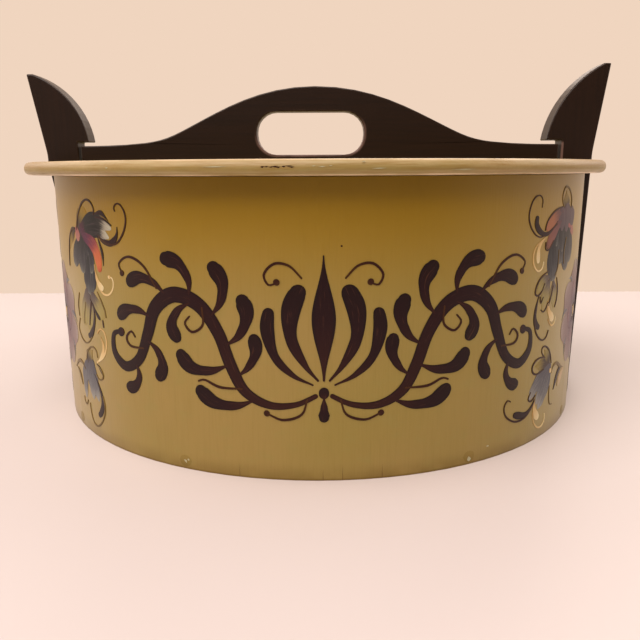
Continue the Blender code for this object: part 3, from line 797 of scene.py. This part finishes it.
def makeBrushPaint(name, paint):
    look = bristleLook
    material, tree, shader = newMaterial("brush_" + name, look["roughness"], look["specular"])
    brush, reach = [addNode("Attribute", tree=tree, attribute_name=label).outputs["Vector"]
                    for label in ("brush", "reach")]
    along, side, _ = parted(brush)
    # bristle marks run along the stroke and drag the colours with them
    bristles = noiseNode(stretched(reach, look["stretch"]), *look["noise"])
    dragged = plus(along, product(minus(bristles, 0.5), look["drag"]))
    colour = rampNode(dragged, [(place, underLamps(stop)) for place, stop in paint["stops"].items()])
    rim = mathNode("ABSOLUTE", side)
    if "streak" in paint:
        hairs = noiseNode(stretched(reach, look["hairStretch"]), *look["hairNoise"])
        hairs = fadeNode(hairs, *look["hairFade"])
        drawn = product(hairs, fadeNode(dragged, *look["hairWay"]), look["hairShare"])
        colour = mixNode(drawn, colour, underLamps(paint["streak"]))
    if "patch" in paint:
        thin = product(fadeNode(bristles, *look["thin"]), fadeNode(rim, *look["thinInside"]))
        colour = mixNode(product(thin, look["thinShare"]), colour, underLamps(paint["patch"]))
    if "edge" in paint:
        edge = product(fadeNode(rim, *look["edge"]), look["edgeShare"])
        colour = mixNode(edge, colour, underLamps(paint["edge"]))
    if "ground" in paint:
        place, turn, out, z = roundPlace(tree)
        painted, _ = olivePaintColour(place, turn, z)
        start, end = paint["ground"]
        gone = fadeNode(dragged, start, end) if end > start else 1
        colour = mixNode(gone, colour, wallShadeAndWear(painted, turn, z))
    dress(shader, colour, bristles, look["bump"])
    paint["material"] = material


for name, paint in brushPaints.items():
    makeBrushPaint(name, paint)


# The sprays of flowers beside the posts

leftSpray = [
    ("petal shade", 15, (-149.5, 117), (-143, 125), (-138, 132)),
    ("leaf shade", 7, (-151, 120.5), (-158, 118), (-165, 108)),
    ("petal leaf", 9.6, (-138.5, 87), (-134, 80.5), (-126.5, 73)),
    ("petal leaf", 10.5, (-143, 88), (-147, 78), (-152, 66)),
    ("petal leaf", 8, (-142, 86), (-141, 76), (-144.5, 64)),
    ("petal slate", 10, (-148, 117), (-153, 109), (-158, 99)),
    ("petal slate", 11, (-145, 117), (-146, 108), (-146.5, 96)),
    ("petal slate", 10, (-142, 116), (-138, 108), (-135.5, 97)),
    ("petal slate", 14.5, (-138, 107), (-138.6, 96), (-140.5, 85)),
    ("petal rose", 6.5, (-152, 121.5), (-150.5, 118), (-149.5, 113.5)),
    ("flare flame", 8.8, (-147, 122.5), (-140.9, 118.6), (-134.8, 115.4), (-130.6, 111.6),
     (-128.3, 107.6), (-127.2, 103.5), (-127, 98.6)),
    ("lobe whiteTip", 8, (-144, 119), (-134, 120.6), (-125, 120.2), (-115.8, 117.6)),
    ("lobe whiteTip", 9, (-146, 121), (-136, 125), (-126, 126), (-113.4, 122.2)),
    ("leaf scroll", 2.6, (-129.5, 129), (-122.3, 130.3), (-118.4, 128.4), (-115.2, 126.1)),
    ("line scroll", 1.2, (-127.6, 127.9), (-121.2, 127.4), (-116.2, 125.6), (-113, 123.8)),
    ("line hair", 1.2, (-151, 119.5), (-149.6, 124.2), (-147.1, 128.2), (-144, 132), (-140.5, 134.9),
     (-136.1, 136.5), (-132.4, 136), (-129.8, 134), (-128.5, 131.8), (-129, 128.5)),
    ("line hair", 1.1, (-125.2, 118.3), (-122.6, 116.1), (-118, 114.4), (-113.2, 114.2), (-109, 115.6),
     (-105.3, 118.9), (-102.7, 122.8), (-101.4, 127.1), (-101.9, 131), (-104, 134.1), (-106.6, 135.3),
     (-108.9, 134.6), (-110.1, 132.9), (-109.2, 131.2)),
    ("swell scroll", 3.6, (-126.5, 119), (-124.5, 117), (-120.7, 115.4), (-115.1, 114.8), (-111, 117.1),
     (-108.9, 120.1), (-108.5, 123.6)),
    ("swell scroll", 1.9, (-127.2, 119), (-124.8, 113.6), (-123, 108.8), (-122.7, 102.4)),
    ("line hair", 1.1, (-153.5, 120.5), (-159.5, 119), (-163.5, 115.6), (-165.9, 111), (-168, 104.7),
     (-169.1, 97.9)),
    ("line peach", 1.1, (-132, 102.5), (-131.4, 97), (-129.8, 91.8), (-126.8, 88.3), (-123.2, 86.9),
     (-119.1, 87.7), (-115.9, 90.7), (-114.9, 94.2), (-115.9, 96.6), (-118.2, 97)),
    ("dot peach", 1.9, (-118, 97), (-118.4, 96.9)),
    ("comma peach", 4.2, (-131.8, 99.5), (-130.6, 94.8), (-127.8, 91.2), (-124.4, 89.9)),
    ("line paleHair", 1, (-131.8, 87.6), (-127.7, 82.6), (-125, 77.9), (-124.3, 74)),
    ("line paleHair", 0.9, (-155.6, 84), (-158.6, 77), (-158.2, 70)),
    ("line paleHair", 0.8, (-146.6, 80), (-149.6, 72.6), (-150.6, 66.8)),
    ("comma scroll", 2.4, (-140.6, 82.6), (-136.4, 77.8), (-133, 74.2), (-130.4, 72.2)),
    ("line hair", 1.4, (-139.6, 80.7), (-141.6, 73.9), (-143.6, 67)),
    ("comma scroll", 3.8, (-137.2, 80.1), (-136.7, 73), (-138.9, 66.6), (-143.4, 61.4), (-146.8, 60.6)),
    ("line paleHair", 1, (-157.9, 68.8), (-160.8, 62.4), (-157.5, 57.6), (-152.5, 55.4), (-147.2, 56.6),
     (-141.8, 60.6)),
    ("line hair", 1.2, (-128, 72.4), (-127.4, 68)),
    ("line peach", 1.1, (-135.2, 63.6), (-131.6, 66.7), (-127.9, 66), (-126, 62.5), (-126, 58.6),
     (-127.5, 54.4), (-131.1, 50.2), (-137.8, 46.5)),
    ("swell peach", 2.9, (-131.6, 62.4), (-129.4, 58), (-130, 53.8), (-133, 50), (-137, 47.2)),
    ("dot peach", 1.6, (-137, 47), (-137.4, 46.8)),
    ("leaf shade", 9.5, (-151, 43), (-148, 48), (-143.5, 52.5)),
    ("lobe mist", 8.5, (-151, 46), (-156.5, 37), (-158, 29), (-158.2, 20.5)),
    ("lobe mist", 10.5, (-147.5, 47), (-149, 38), (-147.7, 31), (-146.3, 22.6)),
    ("lobe mist", 9.6, (-144.5, 47), (-144.2, 39.5), (-143, 32.5), (-139.6, 22.8)),
    ("line paleHair", 1.1, (-152.7, 44.8), (-150.8, 49.7), (-146.2, 53.5), (-141.4, 54.6), (-138.1, 53),
     (-137.1, 49.3)),
    ("comma scroll", 3.9, (-142.8, 38.6), (-138, 31.8), (-135.6, 26.4), (-135.6, 21.2), (-138.2, 16.4),
     (-141.6, 13.6)),
    ("line paleHair", 1, (-139.2, 45.3), (-134.4, 43.2), (-132.3, 39.6), (-134.6, 37), (-138.2, 37),
     (-140.6, 39.2)),
    ("swell scroll", 1.7, (-139, 45.6), (-135.4, 43.6), (-132.8, 39.8)),
    ("line paleHair", 1.1, (-153.6, 18.5), (-151.9, 11.4), (-148.4, 7), (-143.6, 6.8), (-138.1, 10.6),
     (-134.4, 16), (-133.1, 21.3), (-134.6, 27.5)),
    ("line paleHair", 1, (-162.6, 20.4), (-161.2, 17), (-158.6, 16.4), (-156, 19.6)),
    ("swell paleHair", 2.2, (-175, 36), (-167.1, 41.3), (-160.5, 41.6), (-155.4, 38.6)),
    ("swell paleHair", 2.6, (-173.5, 36.4), (-168, 34.4), (-163.3, 27.2)),
]
rightSpray = [
    ("leaf shade", 10, (158, 127), (157, 133), (156, 140)),
    ("petal slate", 13, (157.5, 124), (156, 116), (155, 106)),
    ("petal slate", 9, (150, 121), (147.6, 116), (146, 110)),
    ("leaf leaf", 9, (142, 95), (134, 91), (127, 86.5)),
    ("leaf leaf", 9, (143, 94), (138.6, 86.5), (134.2, 75.5)),
    ("leaf leaf", 9.5, (146, 93), (147.4, 85), (148.5, 75)),
    ("petal slate", 12, (163, 121), (167, 111), (169.5, 99)),
    ("petal slate", 13, (158.5, 119), (160.5, 108), (163.5, 95)),
    ("petal slate", 13.5, (145, 116), (143, 105), (146.4, 91)),
    ("petal slate", 13, (151, 120), (152.6, 111), (154.4, 99.5)),
    ("petal spark", 7.6, (154, 129), (147, 127.2), (140.4, 124.2), (133.6, 119.8)),
    ("petal ember", 7.4, (153, 124.4), (146.3, 121), (140.6, 116.2), (135.8, 109.6)),
    ("petal bruise", 12, (166.5, 117), (167.5, 124), (165.5, 131)),
    ("petal bruise", 13, (159.5, 117), (159.5, 126), (157, 132.6)),
    ("petal bruise", 11, (153, 118), (151.6, 126), (149.4, 131)),
    ("petal rose", 5, (162.5, 121), (168, 119), (173.5, 115)),
    ("line hair", 1.1, (151.5, 131.2), (144.6, 130.2), (138.4, 127.6), (134.2, 124.2), (132.2, 119.4)),
    ("line hair", 0.9, (146.4, 122.6), (140.6, 120), (134.4, 117.6)),
    ("line hair", 0.9, (142.6, 113.6), (137.6, 109), (134.2, 109.6), (133.8, 113.4)),
    ("line paleHair", 1.1, (153.6, 131), (150.6, 135.2), (151.4, 139.2), (154.6, 141.8), (159.2, 141),
     (163.4, 138), (165.8, 134.2), (165.4, 129.6)),
    ("line paleHair", 0.9, (147.6, 93.6), (151, 98.6), (150.6, 108)),
    ("line paleHair", 0.9, (159.8, 99), (158.6, 106), (160.6, 114)),
    ("line hair", 0.9, (127.4, 131.6), (127.7, 135.6), (125.2, 137.9), (121.9, 137.8), (118.8, 135.6),
     (116.9, 132.2), (116.1, 128.4), (116.9, 124.8), (119.3, 121.1), (123.2, 117.9), (127.7, 116.4),
     (132.1, 117)),
    ("comma scroll", 3.7, (146.4, 124), (141.5, 120.6), (136.1, 118), (131.3, 117.7), (126.8, 119.6),
     (123.8, 122.6), (123.4, 125.4), (124.4, 127.6)),
    ("comma peach", 3.5, (134.6, 116.3), (129.6, 113.8), (127, 110.2), (126.8, 106.2), (127.4, 102.6)),
    ("line peach", 1, (128.6, 114), (124.4, 111.6), (122.3, 107), (123.4, 102), (127.3, 98.5),
     (131.5, 99.3), (133, 103)),
    ("line hair", 1.1, (139.4, 97.4), (131.8, 94.6), (127.6, 90.6), (126.5, 86.4), (129.6, 84.9),
     (133.4, 87), (135.8, 91)),
    ("line hair", 0.9, (131.9, 84.2), (132.9, 80.4), (135.4, 83.6)),
    ("line hair", 0.9, (133.6, 76.6), (136.4, 75), (139.4, 76.8), (141.4, 80)),
    ("line hair", 1.1, (150.4, 92.5), (152.8, 86), (152.6, 80), (150.4, 75.4)),
    ("line hair", 1.3, (146.6, 88.5), (144.2, 82), (141.8, 77.4)),
    ("comma peach", 5.2, (141, 80.6), (142.4, 75.4), (146, 71.4), (149.8, 68.4)),
    ("line peach", 1, (143, 69.6), (147.2, 65.6), (151.6, 66), (153.4, 69.6)),
    ("comma scroll", 3.9, (130.6, 85), (128.4, 78.4), (127.8, 73), (129.6, 68.8), (133.2, 66.5)),
    ("line hair", 1, (127.7, 73), (129, 66.2), (133, 61.2), (137.8, 58.8), (142.2, 59.8), (144.4, 63.4)),
    ("leaf shade", 8, (150, 41.5), (146.6, 47), (141.6, 52.6)),
    ("leaf shade", 9, (148, 42.5), (140.4, 44), (131.8, 44.6)),
    ("lobe mist", 10.5, (150.5, 42.5), (139.6, 36.6), (132.4, 31.6), (127.6, 26)),
    ("lobe mist", 9, (149.5, 42), (142.6, 33), (138, 26), (135.4, 21.6)),
    ("lobe mist", 12, (150.6, 43), (146.4, 32), (142.4, 25), (138.1, 18.2)),
    ("line hair", 0.9, (129, 30.6), (126.8, 27.4), (127.8, 25.4), (130.8, 25.2), (134.2, 27.6)),
    ("line hair", 1, (141.4, 48.4), (138.2, 51.6), (138.6, 54.2), (142.2, 54.4), (147, 51.6),
     (150.4, 46.9), (152, 42.4)),
    ("line hair", 1.1, (142.9, 47.9), (136.4, 48.8), (131.2, 47.5), (128.7, 44.3), (130.5, 41),
     (135, 39.8), (142.4, 41)),
    ("dot peach", 2.6, (151, 38.2), (151.6, 38)),
    ("petal apricot", 6, (176.5, 34), (171.5, 31), (165.5, 25)),
    ("swell paleHair", 2.2, (152.8, 36), (155.6, 39.6), (161.1, 40.4), (168.6, 36.6), (175, 34.6)),
    ("swell scroll", 4, (171.9, 36), (164.6, 34), (158.4, 24.6)),
    ("line paleHair", 0.9, (151.7, 29), (152.4, 20.8), (154.6, 16.8), (158, 16)),
    ("comma peach", 5, (133.6, 25.6), (133.6, 20.6), (136.2, 15.6), (139.6, 12.4)),
    ("line peach", 1, (134.4, 21.5), (132.9, 17), (134.4, 11.2), (139.2, 6.9), (144.4, 6.2), (147.6, 9),
     (147.4, 13.2)),
    ("line hair", 1.1, (110.6, 29), (108.2, 30.3), (106.2, 28.7), (105.4, 25.8), (106.8, 22.1),
     (110.3, 18.9), (114.9, 16.7), (119.6, 16.1), (124.4, 16.8), (128.2, 18.8), (131.6, 21.9),
     (133.6, 24.8)),
    ("comma scroll", 4.4, (133.8, 25.6), (130.8, 21.6), (127, 19.2), (121.5, 18.8), (113.4, 20.8)),
]


def moved(rows, place):
    return [(brush, width, *[place(x, z) for x, z in points]) for brush, width, *points in rows]


def mirrored(rows, middle=0):
    return moved(rows, lambda x, z: (2 * middle - x, z))


roseLook = {
    # rings of petals: how many, from and to which share of the radius, how wide, the paint, the turn
    "rings": ((8, 0.30, 0.98, 0.66, "dusk", 0.2), (5, 0.12, 0.58, 0.52, "duskDeep", 0.6)), "lean": 0.10,
    "tips": ((0.62, 0), (0.82, 0.06), (0.96, 0.22)), "tipWidth": 2.6,
    "eye": 5.6, "eyeHalf": 0.4,
    "seeds": (0.3, 1.35, 2.4, 3.45, 4.5, 5.55), "seedRing": (5.2, 5.4), "seedWidth": 1.6,
}


def makeRose(x, z, radius):
    # a round flower: broad outer petals, a deeper ring inside them, a pale eye
    look = roseLook

    def spot(reach, angle):
        return x + reach * math.cos(angle), z + reach * math.sin(angle)

    rows = []
    for count, near, far, width, paint, turn in look["rings"]:
        for index in range(count):
            angle = turn + math.tau * index / count
            middle = spot(radius * (near + far) / 2, angle + look["lean"])
            points = [spot(radius * near, angle), middle, spot(radius * far, angle)]
            rows.append(("petal " + paint, radius * width, *points))
    count, *_, turn = look["rings"][0]
    for index in range(count):
        angle = turn + math.tau * (index + 0.5) / count
        points = [spot(radius * share, angle + lean) for share, lean in look["tips"]]
        rows.append(("leaf mist", look["tipWidth"], *points))
    rows.append(("dot peach", look["eye"], (x - look["eyeHalf"], z), (x + look["eyeHalf"], z)))
    for angle in look["seeds"]:
        rows.append(("dot scroll", look["seedWidth"], *[spot(reach, angle) for reach in look["seedRing"]]))
    return rows


# the flower and leaves next to a post, of which the photo shows only a narrow strip
besidePost = [
    ("petal leaf", 10, (214, 92), (224, 101), (240, 104)),
    ("petal slate", 9, (214, 92), (218, 106), (228, 120)),
    ("petal leaf", 11, (224, 71), (240, 74), (257, 70)),
    ("petal slate", 8, (222, 78), (236, 86), (250, 97)),
    ("comma scroll", 4.4, (214, 98), (220, 112), (232, 121), (245, 118), (250, 109), (245, 103)),
    ("line hair", 1.1, (213, 98), (216, 114), (228, 129), (246, 129), (258, 116), (255, 104), (247, 101)),
    ("comma peach", 4, (220, 94), (231, 93), (240, 87), (243, 80)),
    ("line hair", 1.1, (216, 118), (214, 130), (222, 138), (232, 136), (232, 130)),
]
roseAside, roseMiddle, roseRadius = 197, 66, 34
lowerShare = 0.86                        # below the rose the leaves are a little shorter, clear of the foot
besidePost += moved(besidePost, lambda x, z: (x, roseMiddle - (z - roseMiddle) * lowerShare))
besidePost += makeRose(roseAside, roseMiddle, roseRadius)
backMiddle = math.pi / 2 * bandRadius / mm

layStrokes("left_spray", leftSpray)
layStrokes("right_spray", rightSpray)
layStrokes("left_rose", mirrored(besidePost))
layStrokes("right_rose", besidePost)
layStrokes("left_spray_back", mirrored(leftSpray, -backMiddle))
layStrokes("right_spray_back", mirrored(rightSpray, backMiddle))
layStrokes("left_rose_back", mirrored(mirrored(besidePost), -backMiddle))
layStrokes("right_rose_back", mirrored(besidePost, backMiddle))
print("tine box: sprays and roses are painted")


# A running vine with a tulip across the front

vineMiddle = 3
vineHalf = [
    ("comma scroll", 9.5, (2.5, 52), (9, 60), (15.5, 73), (15.5, 87), (10.5, 99)),
    ("comma scroll", 7, (5, 50), (15, 55), (23.5, 64), (27, 77), (26, 88)),
    ("line hair", 1.3, (10, 102), (16, 108), (23, 109), (28, 104), (26, 99), (22, 100)),
    ("dot hair", 3, (22, 100.2), (22.2, 100.4)),
    ("stem scroll", 8, (3, 45), (14, 40), (27, 39.5), (39, 46), (46, 59), (52, 75), (62, 88), (76, 92),
     (88, 84), (94, 70), (101, 56), (112, 50), (121, 56), (121, 66), (114, 69)),
    ("dot scroll", 4.8, (114, 68.6), (114.4, 68.4)),
    ("comma scroll", 8.2, (33, 42), (44, 38), (56, 39), (65, 46)),
    ("comma scroll", 8.2, (46, 59), (57, 55), (68, 56), (75, 64)),
    ("comma scroll", 7, (43, 53), (37, 58), (33, 66), (34, 75)),
    ("comma scroll", 8.2, (49, 68), (41, 74), (37, 84), (40, 94)),
    ("comma scroll", 8.2, (56, 82), (50, 90), (49, 100), (55, 109)),
    ("comma scroll", 8.2, (67, 91), (67, 100), (73, 108), (83, 110)),
    ("comma scroll", 7.6, (80, 91), (88, 97), (98, 99), (107, 95)),
    ("comma scroll", 7.6, (66, 89), (74, 84), (78, 76), (74, 68)),
    ("comma scroll", 7.6, (91, 79), (100, 82), (109, 81), (116, 76)),
    ("comma scroll", 7.6, (95, 67), (88, 62), (85, 54), (89, 46)),
    ("comma scroll", 7, (104, 54), (102, 46), (106, 40), (113, 38)),
    ("line hair", 1.3, (60, 87), (60, 78), (66, 74), (70, 78), (67, 82)),
    ("line hair", 1.3, (40, 47), (52, 47), (60, 50), (64, 49)),
    ("line hair", 1.3, (97, 62), (107, 62), (110, 66), (106, 70), (103, 67)),
    ("line hair", 1.3, (86, 94), (94, 105), (104, 109), (112, 105), (110, 100)),
    ("dot hair", 3, (110, 100.2), (110.2, 100)),
    ("line hair", 1.3, (8, 43), (11, 35), (20, 32), (28, 35)),
    ("dot hair", 3, (28, 35), (28.2, 35.2)),
]
tulip = [
    ("leaf scroll", 11.5, (0, 52), (0, 82), (0, 113)),
    ("dot scroll", 5, (0, 45.6), (0, 46.4)),
    ("comma scroll", 6, (0, 44), (0, 38), (0, 31)),
]
vine = vineHalf + mirrored(vineHalf) + tulip
layStrokes("front_vine", moved(vine, lambda x, z: (x + vineMiddle, z)))
print("tine box: vine on the front")


# Paint over the peg heads, with old chips, and one dark speck on the wall

pegLook = {"turns": [-56.2, -23.2, 26.8, 59.8], "height": 4.5, "width": 6.2, "half": 0.4}
pegRows = []
for turn in pegLook["turns"] + [180 + turn for turn in pegLook["turns"]]:
    spot = math.radians(turn) * bandRadius / mm
    ends = [(spot + half, pegLook["height"]) for half in (-pegLook["half"], pegLook["half"])]
    pegRows.append(("dot ground", pegLook["width"], *ends))
pegRows += [
    ("leaf chip", 1.3, (-71.8, 5.1), (-70.8, 4.5), (-70.2, 3.3)),
    ("dot chip", 0.9, (-69.2, 5.4), (-69, 5.2)),
    ("tear chip", 2.6, (81.6, 4.6), (81.9, 3.2), (82.2, 1.8)),
    ("dot chip", 0.8, (94.2, 7.6), (94.9, 7.6)),
    ("dot gash", 0.9, (11.3, 117.2), (11.4, 117.2)),
]
layStrokes("peg_paint", pegRows)
print("tine box: peg heads painted over")


# The lid's edge has been knocked: short dark gashes in a row, a few bright scratches, and one painted glint

knockLook = {
    "gashes": (-21.6, -7.4, 8), "height": 152.9, "drift": 0.3,      # from, to, how many; mm
    "stray": 0.25, "long": (1.8, 3.4), "wide": (0.45, 0.85), "sag": 0.12, "endDrift": (-0.1, 0.3),
    # the first row is a painted glint, the rest are bright scratches
    # from, to, height, width, each end a little lower or higher
    "scratchesAndGlint": ((-48, -36.6, 152.9, 0.42), (0.6, 2.4, 153.1, 0.4), (3.6, 6.6, 152.8, 0.5),
                  (8, 9.6, 153.2, 0.4), (22, 24, 154.9, 0.5), (26.6, 33, 152, 0.4),
                  (-101, -99.4, 152.7, 0.6), (64, 76, 151.4, 0.35)), "slant": 0.1,
}
knockAndGlintRows = []
chance = random.Random("knocks")
first, last, count = knockLook["gashes"]
for index in range(count):
    start = first + (last - first) * (index + chance.uniform(-knockLook["stray"], knockLook["stray"])) / count
    level = knockLook["height"] + chance.uniform(-1, 1) * knockLook["drift"]
    long = chance.uniform(*knockLook["long"])
    end = (start + long, level + chance.uniform(*knockLook["endDrift"]))
    points = [(start, level), (start + long / 2, level - knockLook["sag"]), end]
    knockAndGlintRows.append(("leaf gash", chance.uniform(*knockLook["wide"]), *points))
slant = knockLook["slant"]
# bright scratches, the first a painted glint
for start, end, level, width in knockLook["scratchesAndGlint"]:
    points = [(start, level - slant), ((start + end) / 2, level), (end, level + slant)]
    knockAndGlintRows.append(("leaf chip", width, *points))

layStrokes("rim_knocks", knockAndGlintRows, rimGround)
print("tine box: the lid's edge is knocked")
